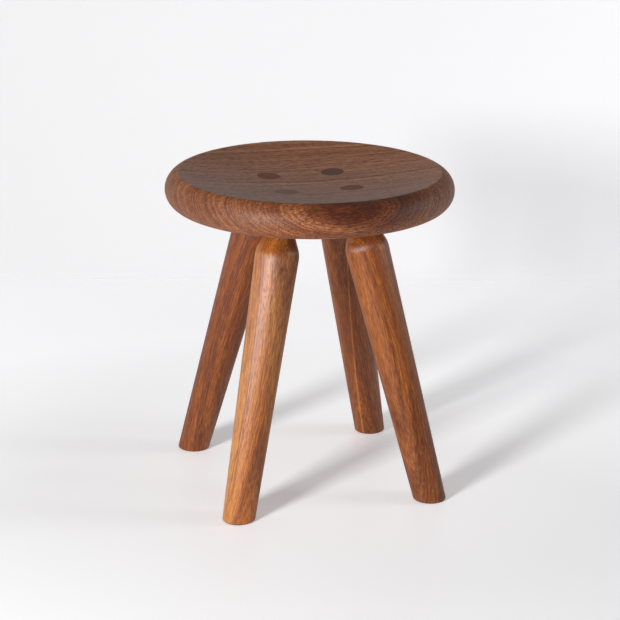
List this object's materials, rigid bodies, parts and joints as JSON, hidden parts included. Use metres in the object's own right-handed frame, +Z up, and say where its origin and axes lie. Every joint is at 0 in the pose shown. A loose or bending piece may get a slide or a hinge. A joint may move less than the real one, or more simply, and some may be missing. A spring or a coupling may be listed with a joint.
{
  "type": "stool",
  "caption": "Low round wooden stool: a dished, round-rimmed seat on splayed turned legs whose tenons pass through the seat and finish flush in the dish.",
  "frame": {"origin": "on the floor, under the middle of the seat", "axes": "+Z is up, along the axis of the round seat; the grain of the seat runs along X; -Y is the side that faces the camera in the picture, and the legs stand on the diagonals between X and Y"},
  "size_m": [0.35, 0.35, 0.3919],
  "materials": {
    "seat_wood": "satin oil over reddish-brown hardwood",
    "leg_wood": "satin oil over reddish-brown hardwood"
  },
  "bodies": {
    "root": {"seat": "seat_wood", "leg_front_left": "leg_wood", "leg_front_right": "leg_wood", "leg_back_left": "leg_wood", "leg_back_right": "leg_wood"}
  },
  "joints": []
}
